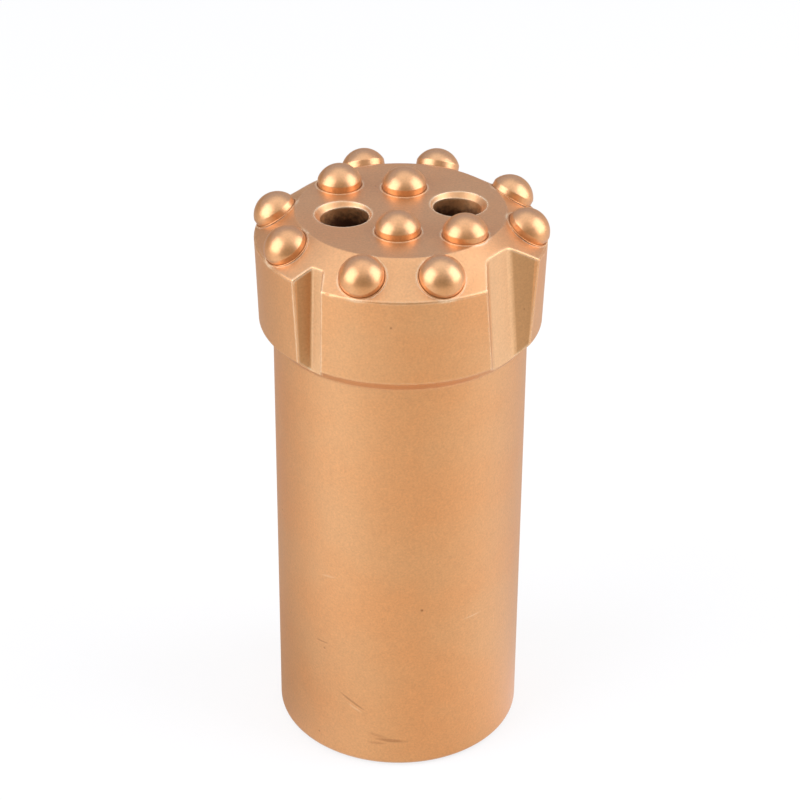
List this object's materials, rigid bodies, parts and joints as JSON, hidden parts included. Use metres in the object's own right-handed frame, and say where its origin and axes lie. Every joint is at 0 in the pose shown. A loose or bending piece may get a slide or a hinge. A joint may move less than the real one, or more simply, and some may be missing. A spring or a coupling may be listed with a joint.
{
  "type": "button drill bit",
  "caption": "Threaded button bit for top-hammer rock drilling: painted steel head with domed carbide buttons, chip grooves and flushing holes, above a skirt with a left-hand rope-thread socket.",
  "frame": {"origin": "centre of the skirt's open end, in the plane that the bit stands on", "axes": "+Z along the drilling axis from the open end to the buttons; -Y is the side between the two gauge buttons at bearings -17.5 and 18 degrees"},
  "size_m": [0.0638, 0.0634, 0.1344],
  "materials": {
    "painted_steel": "satin gold-bronze paint over a blasted, finely grained surface",
    "painted_carbide": "the same paint, smoother, over a ground dome"
  },
  "bodies": {
    "root": {"bit_body": "painted_steel", "gauge_button_1": "painted_carbide", "gauge_button_2": "painted_carbide", "gauge_button_3": "painted_carbide", "gauge_button_4": "painted_carbide", "gauge_button_5": "painted_carbide", "gauge_button_6": "painted_carbide", "gauge_button_7": "painted_carbide", "gauge_button_8": "painted_carbide", "front_button_1": "painted_carbide", "front_button_2": "painted_carbide", "front_button_3": "painted_carbide", "front_button_4": "painted_carbide"}
  },
  "joints": []
}
